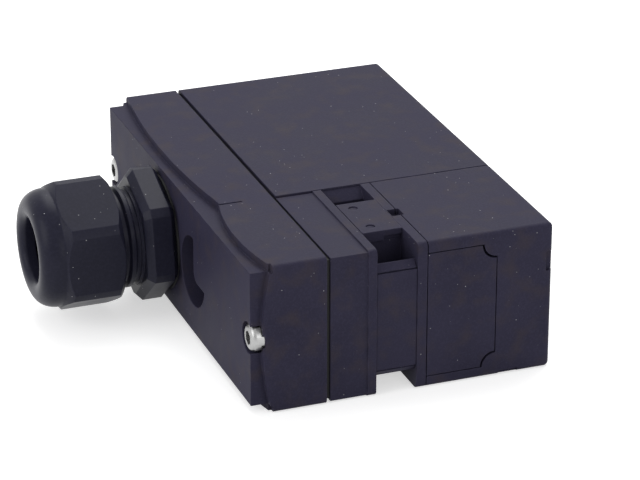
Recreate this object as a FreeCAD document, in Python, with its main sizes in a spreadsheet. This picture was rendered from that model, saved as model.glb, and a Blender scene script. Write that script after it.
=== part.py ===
import FreeCAD, Part
import math
import os

import Sketcher

# Tongue interlock switch with guard locking: a flat plastic housing 60 x 90 x 30 mm with a
# cable gland, a head with two tongue slots and a unit with the locking solenoid beside it.
#
# All positions below are measured from the datum corner of the housing: X from the gland face
# to the far end, Y from the head's open side to the solenoid's far side, Z up through the
# thickness. Every sub-part is then placed so that the model's origin is the centre of the
# housing's underside. Sizes are in millimetres.

doc = FreeCAD.newDocument("tongue_interlock_switch")

# ---------------------------------------------------------------- sizes

SIZES = [
    # housing
    ("body_x", 60.0, "gland face to far end"),
    ("body_y", 90.0, "head side to far side"),
    ("body_z", 30.0, "thickness"),
    ("head_y", 30.0, "width of the head unit"),
    ("unit_gap", 0.3, "line between head and solenoid unit"),
    ("wall", 2.0, "moulded wall"),
    ("edge_round", 1.0, "rounding of the outer edges"),
    # wiring cover and its seam
    ("cover_x", 14.5, "depth of the wiring cover"),
    ("seam", 0.8, "open groove between cover and housings"),
    ("cover_inset", 1.5, "gland face lies this far inside the outline"),
    ("cover_floor", 2.8, "front wall of the cover"),
    ("cover_wall", 3.6, "side walls of the cover"),
    ("crown_set", 1.9, "nearest distance of the crowned step from the gland face"),
    ("crown_end", 4.0, "distance of the step at the corners"),
    ("wide_arc", 205.0, "radius of the wide crowned step"),
    ("small_arc", 61.0, "radius of the small crowned step"),
    ("crown_fillet", 1.1, "hollow at the foot of the crowned step"),
    ("slit_width", 0.5, "short slit between the two crowned steps"),
    ("slit_end", 8.5, "where that slit ends"),
    ("gasket_inset", 0.8, "gasket lies this deep in the seam"),
    # cover screws
    ("screw_edge", 2.9, "screw axis to the side of the housing"),
    ("screw_head_r", 2.75, "pan head radius"),
    ("screw_head", 2.4, "pan head height"),
    ("screw_shank_r", 1.5, "M3 shank radius"),
    ("screw_reach", 24.0, "depth of the shank's tip behind the gland face"),
    ("pocket_r", 3.1, "open pocket round the screw head"),
    # second entry
    ("knock_y", 35.0, "second entry from the head side"),
    ("knock_r", 7.1, "radius of the second entry"),
    ("knock_deep", 6.0, "depth of the second entry"),
    ("knock_post", 2.0, "rounding of the post in the second entry"),
    # cable gland
    ("gland_y", 54.5, "gland axis from the head side"),
    ("gland_flats", 24.0, "hexagon across flats"),
    ("gland_limit", 13.3, "turned radius that trims the hexagon's corners"),
    ("thread_r", 10.0, "M20 thread radius"),
    ("stub", 8.5, "threaded stub inside the cover"),
    ("washer", 0.4, "flat gasket under the flange"),
    ("flange", 6.6, "hexagon flange thickness"),
    ("neck_r", 10.1, "clamping thread radius"),
    ("neck", 19.6, "end of the neck from the gland face"),
    ("neck_groove", 0.7, "depth of the grooves in the neck"),
    ("claw", 4.2, "length of the clamping fingers"),
    ("claw_wall", 1.2, "thickness of the clamping fingers"),
    ("claw_count", 10, "number of clamping fingers"),
    ("cable_r", 6.6, "bore through the gland"),
    ("nut_start", 11.0, "inner end of the dome nut"),
    ("nut_hex_end", 22.4, "end of the nut's flats"),
    ("nut_tip", 27.4, "tip of the dome"),
    ("nut_mouth_r", 6.3, "mouth of the dome"),
    ("nut_play", 0.25, "play between nut and neck"),
    ("seal_wall", 1.1, "wall of the rubber seal"),
    # tongue slots
    ("slot_x", 24.4, "near wall of the slots from the gland face"),
    ("slot_width", 8.1, "slots along X"),
    ("bridge_y", 14.0, "bridge between the two slots"),
    ("slot_y", 5.7, "slots along Y"),
    ("lead_in", 2.1, "bevel at the far slot's outer side"),
    ("rim", 1.7, "raised rim beside the slots"),
    ("strip_drop", 0.35, "plain strip lies this far below the rim"),
    ("rim_wall", 1.9, "wall between the slots and the mechanism"),
    ("bridge_z", 2.1, "thickness of the bridge inserts"),
    ("bridge_play", 0.15, "play round the bridge inserts"),
    ("web_set", 0.6, "web under the bridge lies this far inside it"),
    ("web_end", 9.5, "inner end of the web from the outside"),
    ("pin_r", 0.9, "bridge pin radius"),
    ("pin_length", 6.0, "bridge pin length"),
    ("apron_y", 2.3, "thickness of the slot apron"),
    ("apron_z", 5.0, "open height of the head's side above the apron"),
    ("latch_x", 2.4, "latch window along X"),
    ("latch_y", 3.0, "latch window along Y"),
    ("latch_deep", 1.2, "latch window depth"),
    # head cover and side panel
    ("cover_gap", 0.2, "line between rim wall and head cover"),
    ("panel_x", 14.0, "side panel along X"),
    ("panel_z", 25.2, "side panel height"),
    ("panel_y", 1.9, "side panel thickness"),
    ("panel_notch", 2.9, "hollow corners of the side panel"),
    ("panel_gap", 0.2, "line round the side panel"),
    ("panel_lip", 1.2, "hidden lip behind the window"),
    # rotors
    ("rotor_pitch", 9.0, "distance between the two rotor axes"),
    ("cam_r", 3.7, "cam disc radius"),
    ("cam_throat", 1.2, "throat radius in the cam disc"),
    ("cam_play", 0.7, "side play of the cam discs"),
    ("spindle_r", 1.5, "spindle radius"),
    ("bearing_play", 0.05, "radial play of the spindles"),
    ("bearing_deep", 2.0, "blind bearing depth"),
    ("gear_teeth", 12, "teeth of a timing gear"),
    ("gear_x", 2.0, "timing gear width"),
    ("rotor_turn", 60.0, "turn of the rotors each way, in degrees"),
    ("lock_gap", 0.5, "lock wheel from the timing gear"),
    ("gear_set", 0.5, "timing gear from the rim wall"),
    ("backlash", 0.14, "play between the teeth"),
    ("rack_teeth", 5, "teeth of the contact slider"),
    ("rack_back", 1.5, "thickness of the slider behind its teeth"),
    ("lock_x", 2.0, "lock wheel width"),
    ("lock_r", 5.4, "lock wheel tooth radius"),
    ("lock_hub", 2.6, "lock wheel hub radius"),
    ("lock_tooth", 1.0, "lock wheel tooth width"),
    ("lock_angle", 30.0, "lock wheel teeth either side of the bolt"),
    # contacts
    ("block_x", 16.6, "contact block length"),
    ("block_wall", 1.6, "contact block wall"),
    ("block_gap", 1.2, "contact block from the lock wheel"),
    ("contact_pad", 0.6, "thickness of a fixed contact"),
    ("contact_y", 3.0, "width of a fixed contact"),
    ("contact_z", 3.0, "height of a fixed contact"),
    # solenoid
    ("coil_start", 38.0, "inner face of the yoke's front plate"),
    ("coil_length", 34.0, "bobbin length"),
    ("coil_r", 9.6, "winding radius"),
    ("flange_r", 10.3, "bobbin flange radius"),
    ("flange_y", 1.5, "bobbin flange thickness"),
    ("spool_wall", 1.2, "bobbin tube wall"),
    ("armature_r", 4.5, "armature radius"),
    ("armature_play", 0.08, "play round the armature"),
    ("armature_start", 44.0, "front end of the armature at rest"),
    ("armature_length", 20.0, "armature length"),
    ("bolt_r", 1.25, "locking bolt radius"),
    ("bolt_tip", 26.4, "tip of the locking bolt at rest"),
    ("bolt_play", 0.1, "play round the locking bolt"),
    ("yoke", 2.0, "yoke plate thickness"),
    ("yoke_x", 21.0, "yoke width"),
    ("yoke_z", 24.0, "yoke height"),
    ("seat_play", 0.1, "play between inner pieces and the shell"),
    ("spring_wire", 0.6, "wire of the armature spring"),
    ("spring_turns", 5, "turns of the armature spring"),
    # terminals
    ("terminal_count", 8, "screw terminals"),
    ("terminal_pitch", 5.7, "distance between terminals"),
    ("terminal_x", 7.0, "terminal block depth"),
    ("terminal_z", 14.0, "terminal block height"),
    ("terminal_set", 1.0, "terminal block behind the seam"),
    ("clamp_y", 4.4, "clamp cage width"),
    ("clamp_z", 5.2, "clamp cage height"),
    ("clamp_x", 4.0, "clamp cage depth"),
    ("clamp_wall", 0.8, "clamp cage wall"),
    ("terminal_screw_r", 1.9, "terminal screw head radius"),
    ("board_x", 1.5, "circuit board thickness"),
    # fixing
    ("insert_r", 3.2, "threaded insert outer radius"),
    ("insert_bore", 2.1, "M5 thread's inner radius"),
    ("insert_z", 8.0, "threaded insert length"),
    ("insert_span", 46.0, "distance between the two inserts"),
    ("insert_x", 6.5, "inserts from the far end"),
    ("boss_wall", 1.3, "wall round an insert"),
    ("dowel_r", 1.5, "dowels between the two units"),
    ("dowel_deep", 1.7, "dowel length in each unit"),
]


class Length:
    """A number together with the spreadsheet expression that gives it."""

    def __init__(self, number, text):
        self.number = number
        self.text = text

    def __add__(self, other):
        other = as_length(other)
        return Length(self.number + other.number, f"({self.text} + {other.text})")

    def __sub__(self, other):
        other = as_length(other)
        return Length(self.number - other.number, f"({self.text} - {other.text})")

    def __mul__(self, other):
        other = as_length(other)
        return Length(self.number * other.number, f"({self.text} * {other.text})")

    def __truediv__(self, other):
        other = as_length(other)
        return Length(self.number / other.number, f"({self.text} / {other.text})")

    def __radd__(self, other):
        return as_length(other) + self

    def __rsub__(self, other):
        return as_length(other) - self

    def __rmul__(self, other):
        return as_length(other) * self

    def __neg__(self):
        return 0 - self


def as_length(value):
    if isinstance(value, Length):
        return value
    return Length(float(value), f"{float(value):.6f}")


class SizeTable:
    """The spreadsheet's cells by name."""


sheet = doc.addObject("Spreadsheet::Sheet", "Sizes")
S = SizeTable()
for row, (alias, number, meaning) in enumerate(SIZES, start=1):
    sheet.set(f"A{row}", str(number))
    sheet.setAlias(f"A{row}", alias)
    sheet.set(f"B{row}", meaning)
    setattr(S, alias, Length(float(number), f"Sizes.{alias}"))
doc.recompute()

# ---------------------------------------------------------------- makers of shapes

TURN_TO = {
    "X": FreeCAD.Rotation(FreeCAD.Vector(0, 1, 0), 90),
    "Y": FreeCAD.Rotation(FreeCAD.Vector(1, 0, 0), -90),
    "Z": FreeCAD.Rotation(),
}
NODES = []
serial = [0]


def unique(name):
    serial[0] += 1
    return f"{name}_{serial[0]}"


def bind(obj, prop, value):
    """Ties a property to the sheet by the value's expression."""
    obj.setExpression(prop, as_length(value).text)


def place(obj, x, y, z):
    for axis, value in zip("xyz", (x, y, z)):
        bind(obj, f"Placement.Base.{axis}", value)


def block(name, x, y, z):
    """A box given by its low and high faces along each axis."""
    obj = doc.addObject("Part::Box", unique(name))
    for prop, (low, high) in zip(("Length", "Width", "Height"), (x, y, z)):
        bind(obj, prop, as_length(high) - low)
    place(obj, x[0], y[0], z[0])
    return obj


def along(axis, span_start, across):
    """The point at span_start along an axis and at across on the two other axes."""
    point = list(across)
    point.insert("XYZ".index(axis), span_start)
    return point


def rod(name, axis, across, span, radius):
    """A cylinder along an axis; across holds its two other coordinates."""
    obj = doc.addObject("Part::Cylinder", unique(name))
    bind(obj, "Radius", radius)
    bind(obj, "Height", as_length(span[1]) - span[0])
    obj.Placement.Rotation = TURN_TO[axis]
    place(obj, *along(axis, span[0], across))
    return obj


def cone(name, axis, across, span, radii):
    obj = doc.addObject("Part::Cone", unique(name))
    bind(obj, "Radius1", radii[0])
    bind(obj, "Radius2", radii[1])
    bind(obj, "Height", as_length(span[1]) - span[0])
    obj.Placement.Rotation = TURN_TO[axis]
    place(obj, *along(axis, span[0], across))
    return obj


def hexagon(name, across, span, flats, turn):
    """A hexagonal prism along X, turned by an angle about its own axis."""
    obj = doc.addObject("Part::Prism", unique(name))
    obj.Polygon = 6
    bind(obj, "Circumradius", as_length(flats) / math.sqrt(3))
    bind(obj, "Height", as_length(span[1]) - span[0])
    spin = FreeCAD.Rotation(FreeCAD.Vector(1, 0, 0), turn)
    obj.Placement.Rotation = spin.multiply(TURN_TO["X"])
    place(obj, *along("X", span[0], across))
    return obj


def fuse(name, *shapes):
    obj = doc.addObject("Part::MultiFuse", unique(name))
    obj.Shapes = list(shapes)
    obj.Refine = True
    return obj


def group(name, *shapes):
    obj = doc.addObject("Part::Compound", unique(name))
    obj.Links = list(shapes)
    return obj


def cut(name, base, *tools):
    obj = doc.addObject("Part::Cut", unique(name))
    obj.Base = base
    obj.Tool = tools[0] if len(tools) == 1 else fuse(name + "_tools", *tools)
    obj.Refine = True
    return obj


def common(name, *shapes):
    obj = doc.addObject("Part::MultiCommon", unique(name))
    obj.Shapes = list(shapes)
    return obj


def mirrored(name, source):
    """The source mirrored in the housing's mid-plane."""
    obj = doc.addObject("Part::Mirroring", unique(name))
    obj.Source = source
    obj.Normal = FreeCAD.Vector(0, 0, 1)
    bind(obj, "Base.z", S.body_z / 2)
    return obj


def rounded(name, base, radius, chooses):
    """Fillets the edges for which chooses(edge) is true."""
    doc.recompute()
    obj = doc.addObject("Part::Fillet", unique(name))
    obj.Base = base
    chosen = [n for n, edge in enumerate(base.Shape.Edges, start=1) if chooses(edge)]
    obj.Edges = [(n, radius.number, radius.number) for n in chosen]
    return obj


def spans(edge, axis):
    box = edge.BoundBox
    return getattr(box, f"{axis}Length")


def lies_at(edge, axis, value, slack=1e-3):
    """True if the whole edge lies at one value of an axis."""
    box = edge.BoundBox
    low, high = getattr(box, f"{axis}Min"), getattr(box, f"{axis}Max")
    return abs(low - value) < slack and abs(high - value) < slack


def outline_sketch(body, name, role, corners, offset=0):
    """A closed outline whose every corner is tied to the sheet."""
    sketch = body.newObject("Sketcher::SketchObject", unique(name))
    planes = {feature.Role: feature for feature in body.Origin.OriginFeatures}
    sketch.AttachmentSupport = [(planes[role], "")]
    sketch.MapMode = "FlatFace"
    bind(sketch, "AttachmentOffset.Base.z", offset)
    corners = [(as_length(u), as_length(v)) for u, v in corners]
    points = [FreeCAD.Vector(u.number, v.number, 0) for u, v in corners]
    for start, end in zip(points, points[1:] + points[:1]):
        sketch.addGeometry(Part.LineSegment(start, end), False)
    count = len(points)
    for n in range(count):
        sketch.addConstraint(Sketcher.Constraint("Coincident", n, 2, (n + 1) % count, 1))
    for n, corner in enumerate(corners):
        for kind, value in zip(("DistanceX", "DistanceY"), corner):
            index = sketch.addConstraint(
                Sketcher.Constraint(kind, -1, 1, n, 1, value.number))
            sketch.setExpression(f"Constraints[{index}]", value.text)
    return sketch


def padded(name, role, corners, length, offset=0):
    """A body that is one outline, padded."""
    body = doc.addObject("PartDesign::Body", unique(name))
    sketch = outline_sketch(body, name + "_outline", role, corners, offset)
    pad = body.newObject("PartDesign::Pad", unique(name + "_pad"))
    pad.Profile = sketch
    bind(pad, "Length", length)
    sketch.Visibility = False
    return body


def turned(name, corners):
    """A body turned about its own X axis; a corner is (distance along X, radius)."""
    body = doc.addObject("PartDesign::Body", unique(name))
    sketch = outline_sketch(body, name + "_profile", "XY_Plane", corners)
    turning = body.newObject("PartDesign::Revolution", unique(name + "_turning"))
    turning.Profile = sketch
    axes = {feature.Role: feature for feature in body.Origin.OriginFeatures}
    turning.ReferenceAxis = (axes["X_Axis"], [""])
    turning.Angle = 360
    return body


def free_form(name, shape):
    """A shape that neither a feature nor a primitive gives."""
    obj = doc.addObject("Part::Feature", unique(name))
    obj.Shape = shape
    return obj


def node(label, shape):
    """Names a sub-part and moves it from the datum corner to the model's origin."""
    obj = group(label, shape)
    obj.Label = label
    place(obj, -S.body_x / 2, -S.body_y / 2, 0)
    NODES.append(obj)
    return obj


# ---------------------------------------------------------------- shared places

mid_z = S.body_z / 2
top = S.body_z
house_x = S.cover_x + S.seam
head_end = S.head_y - S.unit_gap / 2
side_start = S.head_y + S.unit_gap / 2
head_mid = S.head_y / 2
slot_end = S.slot_x + S.slot_width
bridge_low = head_mid - S.bridge_y / 2
bridge_high = head_mid + S.bridge_y / 2
near_slot = bridge_low - S.slot_y
far_slot = bridge_high + S.slot_y
rim_end = slot_end + S.rim_wall
cover_start = rim_end + S.cover_gap
near_axis = head_mid - S.rotor_pitch / 2
far_axis = head_mid + S.rotor_pitch / 2
gear_start = rim_end + S.gear_set
lock_start = gear_start + S.gear_x + S.lock_gap
lock_mid = lock_start + S.lock_x / 2
block_start = lock_start + S.lock_x + S.block_gap
EPS = 1.0


def through_z():
    return (-EPS, top + EPS)


# ---------------------------------------------------------------- wiring cover

def wiring_cover():
    """Crowned cap over the wiring space, with the gland's boss and the second entry."""
    inset = S.cover_inset
    core = block("core", (0, S.cover_x), (inset, S.body_y - inset), (inset, top - inset))
    corners = block("corners", (S.crown_end, S.cover_x), (0, S.body_y), (0, top))
    wide_mid = (S.head_y + S.body_y) / 2
    wide = common(
        "wide_crown",
        block("wide_stock", (0, S.cover_x), (S.head_y, S.body_y - inset), (0, top)),
        rod("wide_arc", "Z", (S.crown_set + S.wide_arc, wide_mid), through_z(), S.wide_arc))
    small = common(
        "small_crown",
        block("small_stock", (0, S.cover_x), (inset, S.head_y), (0, top)),
        rod("small_arc", "Z", (S.crown_set + S.small_arc, head_mid), through_z(), S.small_arc))
    ends = common(
        "end_crown",
        block("end_stock", (0, S.cover_x), (0, S.body_y), (inset, top - inset)),
        rod("end_arc", "Y", (S.crown_set + S.small_arc, mid_z), (-EPS, S.body_y + EPS),
            S.small_arc))
    outside = fuse("cover_outside", core, corners, wide, small, ends)

    def long_corner(edge):
        box = edge.BoundBox
        on_side = min(abs(box.YMin), abs(box.YMax - S.body_y.number)) < 1e-3
        on_face = min(abs(box.ZMin), abs(box.ZMax - top.number)) < 1e-3
        return on_side and on_face and spans(edge, "X") > 5 and spans(edge, "Y") < 1e-3

    outside = rounded("cover_edges", outside, S.edge_round, long_corner)

    # the wiring space is open towards the housings
    wall = S.cover_wall
    boss_r = S.thread_r + 2.6
    room = block("wiring_room", (S.stub + 0.6, S.cover_x + EPS),
                 (S.screw_edge + wall, S.body_y - S.screw_edge - wall), (wall, top - wall))
    deep = block("deep_room", (S.cover_floor, S.cover_x),
                 (S.gland_y + boss_r, S.body_y - S.screw_edge - wall), (wall, top - wall))
    gland_bore = rod("gland_bore", "X", (S.gland_y, mid_z), (-EPS, S.cover_x), S.thread_r)
    screws = []
    for side in (S.screw_edge, S.body_y - S.screw_edge):
        screws.append(rod("screw_pocket", "X", (side, mid_z), (-EPS, S.screw_head), S.pocket_r))
        screws.append(rod("screw_hole", "X", (side, mid_z), (0, S.cover_x + EPS),
                          S.screw_shank_r + 0.15))
    slits = [block("slit", (S.crown_end - 0.2, S.slit_end),
                   (S.head_y - S.slit_width / 2, S.head_y + S.slit_width / 2), z)
             for z in ((top - 0.5, top + EPS), (-EPS, 0.5))]
    return cut("wiring_cover", outside, room, deep, gland_bore, second_entry(), *screws, *slits)


def second_entry():
    """Round blind recess with a rounded post left standing in one quarter."""
    span = (-EPS, S.knock_deep)
    centre_z = mid_z - 0.5
    recess = rod("knock_recess", "X", (S.knock_y, centre_z), span, S.knock_r)
    post = block("knock_post", span, (S.knock_y - S.knock_r - EPS, S.knock_y - 0.5),
                 (centre_z - 1.6, centre_z + S.knock_r + EPS))

    def inner_corner(edge):
        box = edge.BoundBox
        return (spans(edge, "X") > 1 and abs(box.YMax - (S.knock_y.number - 0.5)) < 1e-3
                and abs(box.ZMin - (centre_z.number - 1.6)) < 1e-3)

    return cut("knock_opening", recess, rounded("knock_post", post, S.knock_post, inner_corner))


node("wiring_cover", wiring_cover())


def cover_gasket():
    """Flat ring in the seam between the cover and the housings."""
    deep = S.gasket_inset
    wall = S.cover_wall
    ring = block("ring", (S.cover_x, house_x), (deep, S.body_y - deep), (deep, top - deep))
    inside = block("ring_inside", (S.cover_x - EPS, house_x + EPS),
                   (S.screw_edge + wall, S.body_y - S.screw_edge - wall), (wall, top - wall))
    holes = [rod("ring_hole", "X", (side, mid_z), (S.cover_x - EPS, house_x + EPS),
                 S.screw_shank_r + 0.15)
             for side in (S.screw_edge, S.body_y - S.screw_edge)]
    return cut("cover_gasket", ring, inside, *holes)


node("cover_gasket", cover_gasket())


def pan_screw(name, across, seat_x, head_r, head_height, shank_r, tip_x, socket):
    """Pan-head screw driven along +X; its head stands on seat_x towards -X."""
    head = rod(name + "_head", "X", across, (seat_x - head_height, seat_x), head_r)
    face_x = (seat_x - head_height).number
    head = rounded(name + "_dome", head, head_height * 0.45,
                   lambda edge: lies_at(edge, "X", face_x) and len(edge.Vertexes) == 1)
    shank = rod(name + "_shank", "X", across, (seat_x - head_height / 2, tip_x), shank_r)
    drive = hexagon(name + "_socket", across,
                    (seat_x - head_height - EPS, seat_x - head_height * 0.4), socket, 0)
    return cut(name, fuse(name + "_blank", head, shank), drive)


node("cover_screws", group("cover_screws", *[
    pan_screw("cover_screw", (side, mid_z), S.screw_head, S.screw_head_r, S.screw_head,
              S.screw_shank_r, S.screw_reach, 2.5)
    for side in (S.screw_edge, S.body_y - S.screw_edge)]))

# ---------------------------------------------------------------- solenoid unit's housing


def outer_edges(edge, y_side):
    """Edges of a unit's block at the far end and on its outer long side."""
    box = edge.BoundBox
    at_end = abs(box.XMin - S.body_x.number) < 1e-3
    on_side = abs(box.YMin - y_side) < 1e-3 and abs(box.YMax - y_side) < 1e-3
    along_x = spans(edge, "X") > 1 and abs(box.YMin - y_side) < 1e-3
    return at_end or (on_side and along_x)


def screw_hole(side):
    """Hole for the cover screw, in the housing behind the cover."""
    return rod("cover_thread", "X", (side, mid_z), (house_x - EPS, S.screw_reach + 0.5),
               S.screw_shank_r)


def insert_places():
    middle = (side_start + S.body_y) / 2
    return [(S.body_x - S.insert_x, middle - S.insert_span / 2),
            (S.body_x - S.insert_x, middle + S.insert_span / 2)]


def dowel_places():
    return [(S.body_x - 6, z) for z in (mid_z - 8, mid_z + 8)]


def solenoid_housing():
    """Box open towards the wiring cover, with bosses for the threaded inserts."""
    outside = block("side_block", (house_x, S.body_x), (side_start, S.body_y), (0, top))
    outside = rounded("side_edges", outside, S.edge_round,
                      lambda edge: outer_edges(edge, S.body_y.number))
    wall = S.wall
    room = block("side_room", (house_x - EPS, S.body_x - wall),
                 (side_start + wall, S.body_y - wall), (wall, top - wall))
    bosses = [rod("insert_boss", "Z", at, (wall / 2, S.insert_z + wall),
                  S.insert_r + S.boss_wall) for at in insert_places()]
    screw_boss = block("screw_boss", (house_x, S.screw_reach + 2),
                       (S.body_y - S.screw_edge * 2, S.body_y - wall / 2),
                       (mid_z - S.screw_edge, mid_z + S.screw_edge))
    shell = fuse("side_shell", cut("side_hollow", outside, room), screw_boss, *bosses)
    holes = [rod("insert_seat", "Z", at, (-EPS, S.insert_z), S.insert_r)
             for at in insert_places()]
    holes += [rod("dowel_seat", "Y", at, (side_start - EPS, side_start + S.dowel_deep),
                  S.dowel_r) for at in dowel_places()]
    holes.append(rod("bolt_hole", "Y", (lock_mid, mid_z),
                     (side_start - EPS, side_start + wall + EPS), S.bolt_r + S.bolt_play))
    holes.append(screw_hole(S.body_y - S.screw_edge))
    return cut("solenoid_housing", shell, *holes)


node("solenoid_housing", solenoid_housing())

node("mounting_inserts", group("mounting_inserts", *[
    cut("insert", rod("insert_body", "Z", at, (0, S.insert_z), S.insert_r),
        rod("insert_bore", "Z", at, (-EPS, S.insert_z + EPS), S.insert_bore))
    for at in insert_places()]))

node("unit_dowels", group("unit_dowels", *[
    rod("dowel", "Y", at, (head_end - S.dowel_deep, side_start + S.dowel_deep), S.dowel_r)
    for at in dowel_places()]))

# ---------------------------------------------------------------- head housing


def head_housing():
    """Head with the slot column, its webs and the bearings of the rotors."""
    outside = block("head_block", (house_x, rim_end), (0, head_end), (0, top))
    outside = rounded("head_edges", outside, S.edge_round,
                      lambda edge: lies_at(edge, "Y", 0) and spans(edge, "X") > 1)
    drop = S.strip_drop
    strip = (house_x - EPS, S.slot_x - S.rim)
    column = (S.slot_x, slot_end)
    cuts = [block("strip_top", strip, (-EPS, S.body_y), (top - drop, top + EPS)),
            block("strip_bottom", strip, (-EPS, S.body_y), (-EPS, drop)),
            block("strip_side", strip, (-EPS, drop), through_z()),
            block("column", column, (-EPS, far_slot), through_z())]
    bevel = padded("lead_in", "YZ_Plane",
                   [(far_slot - 0.01, top + EPS), (far_slot - 0.01, top - S.lead_in),
                    (far_slot, top - S.lead_in), (far_slot + S.lead_in, top - 0.3),
                    (far_slot + S.lead_in, top + EPS)], S.slot_width, S.slot_x)
    cuts += [bevel, mirrored("lead_in_bottom", bevel)]
    cuts += [block("wiring_duct", (house_x - EPS, house_x + 5),
                   (S.screw_edge + S.cover_wall, head_end - S.wall),
                   (S.cover_wall, top - S.cover_wall)),
             screw_hole(S.screw_edge)]
    web_y = (bridge_low + S.web_set, bridge_high - S.web_set)
    web = block("web", (S.slot_x - 0.5, slot_end + 0.5), web_y,
                (top - S.web_end, top - S.bridge_z))
    tab = block("latch_tab", (rim_end - 0.5, cover_start + 3.5),
                (head_mid - 2.5, head_mid + 2.5),
                (top - S.wall - 1.7, top - S.wall - S.seat_play))
    added = [web, mirrored("web_bottom", web), tab, mirrored("tab_bottom", tab)]
    carcass = fuse("head_carcass", cut("head_cut", outside, *cuts), *added)
    holes = [latch_window()]
    holes.append(mirrored("latch_bottom", holes[0]))
    for axis_y in (near_axis, far_axis):
        holes.append(rod("bearing", "X", (axis_y, mid_z), (S.slot_x - S.bearing_deep, rim_end + EPS),
                         S.spindle_r + S.bearing_play))
    holes += [rod("pin_seat", "Z", at, span, S.pin_r)
              for at in pin_places() for span in pin_spans()]
    return cut("head_housing", carcass, *holes)


def latch_window():
    """Square window across the line between the rim wall and the head cover."""
    end = cover_start + 0.5
    return block("latch_window", (end - S.latch_x, end),
                 (head_mid - S.latch_y / 2, head_mid + S.latch_y / 2),
                 (top - S.latch_deep, top + EPS))


def pin_places():
    pin_x = S.slot_x + S.slot_width / 3
    return [(pin_x, near_axis), (pin_x, far_axis)]


def pin_spans():
    return [(top - S.pin_length, top - 0.2), (0.2, S.pin_length)]


node("head_housing", head_housing())


def bridge():
    """Insert between the two slots, level with the rim."""
    play = S.bridge_play
    plate = block("bridge_plate", (S.slot_x + play, slot_end - 0.02), (bridge_low, bridge_high),
                  (top - S.bridge_z, top))
    holes = [rod("bridge_hole", "Z", at, (top - S.bridge_z - EPS, top + EPS), S.pin_r)
             for at in pin_places()]
    notch = block("bridge_notch", (slot_end - S.slot_width * 0.45, slot_end),
                  (bridge_low - EPS, bridge_low + 0.5), (top - S.bridge_z - EPS, top - 1.2))
    return cut("bridge", plate, notch, *holes)


top_bridge = bridge()
node("bridge_top", top_bridge)
node("bridge_bottom", mirrored("bridge_bottom", top_bridge))
node("bridge_pins", group("bridge_pins", *[
    rod("bridge_pin", "Z", at, span, S.pin_r) for at in pin_places() for span in pin_spans()]))


def slot_apron():
    """Guard over the middle of the open side, with a bevelled ledge at each slot mouth."""
    set_back = 0.15
    line = 0.55
    edge = top - S.apron_z
    half = [(set_back, edge - 0.1), (set_back + line, edge - 0.1), (set_back + line, edge + 0.15),
            (set_back + 0.2, edge + 0.15), (near_slot - 0.7, edge + 1.5), (near_slot, edge + 0.9)]
    other = [(y, top - z) for y, z in reversed(half)]
    play = 0.08
    return padded("slot_apron", "YZ_Plane", half + other, S.slot_width - play * 2,
                  S.slot_x + play)


node("slot_apron", slot_apron())

# ---------------------------------------------------------------- head cover and side panel


def panel_outline(name, grow, y):
    """The panel's outline with two hollow corners, grown by a gap."""
    x_end = rim_end + S.panel_x + grow
    low, high = mid_z - S.panel_z / 2 - grow, mid_z + S.panel_z / 2 + grow
    plate = block(name, (cover_start - EPS if name == "window" else cover_start, x_end), y,
                  (low, high))
    notches = [rod(name + "_notch", "Y", (x_end, z), (y[0] - EPS, y[1] + EPS),
                   S.panel_notch - grow) for z in (low, high)]
    return cut(name, plate, *notches)


def head_cover():
    """Shell over the mechanism, with the window for the side panel."""
    outside = block("cover_block", (cover_start, S.body_x), (0, head_end), (0, top))
    outside = rounded("cover_block_edges", outside, S.edge_round,
                      lambda edge: outer_edges(edge, 0))
    wall = S.wall
    room = block("cover_room", (cover_start - EPS, S.body_x - wall),
                 (wall, head_end - wall), (wall, top - wall))
    window = panel_outline("window", S.panel_gap, (-EPS, wall + EPS))
    pry_end = block("pry_end", (S.body_x - 1.4, S.body_x + EPS), (-EPS, 0.9),
                    (mid_z + 5.3, mid_z + 9.3))
    pry_foot = block("pry_foot", (S.body_x - 10.6, S.body_x - 6.7), (-EPS, 0.9), (-EPS, 0.9))
    holes = [rod("dowel_hole", "Y", at, (head_end - S.dowel_deep, head_end + EPS), S.dowel_r)
             for at in dowel_places()]
    holes.append(rod("bolt_hole", "Y", (lock_mid, mid_z), (head_end - wall - EPS, head_end + EPS),
                     S.bolt_r + S.bolt_play))
    window_top = latch_window()
    return cut("head_cover", outside, room, window, pry_end, pry_foot, window_top,
               mirrored("cover_latch_bottom", window_top), *holes)


node("head_cover", head_cover())


def side_panel():
    """Flush panel with a hidden lip that bears on the inside of the cover."""
    plate = panel_outline("panel", 0, (0, S.wall + S.seat_play))
    low, high = mid_z - S.panel_z / 2, mid_z + S.panel_z / 2
    lip = block("panel_lip", (cover_start + 0.3, rim_end + S.panel_x + S.panel_lip),
                (S.wall + S.seat_play, S.wall + S.seat_play + 0.9), (low + 0.2, high - 0.2))
    return fuse("side_panel", plate, lip)


node("side_panel", side_panel())

# ---------------------------------------------------------------- rotors

GEAR_PRESSURE = math.radians(25)


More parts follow.
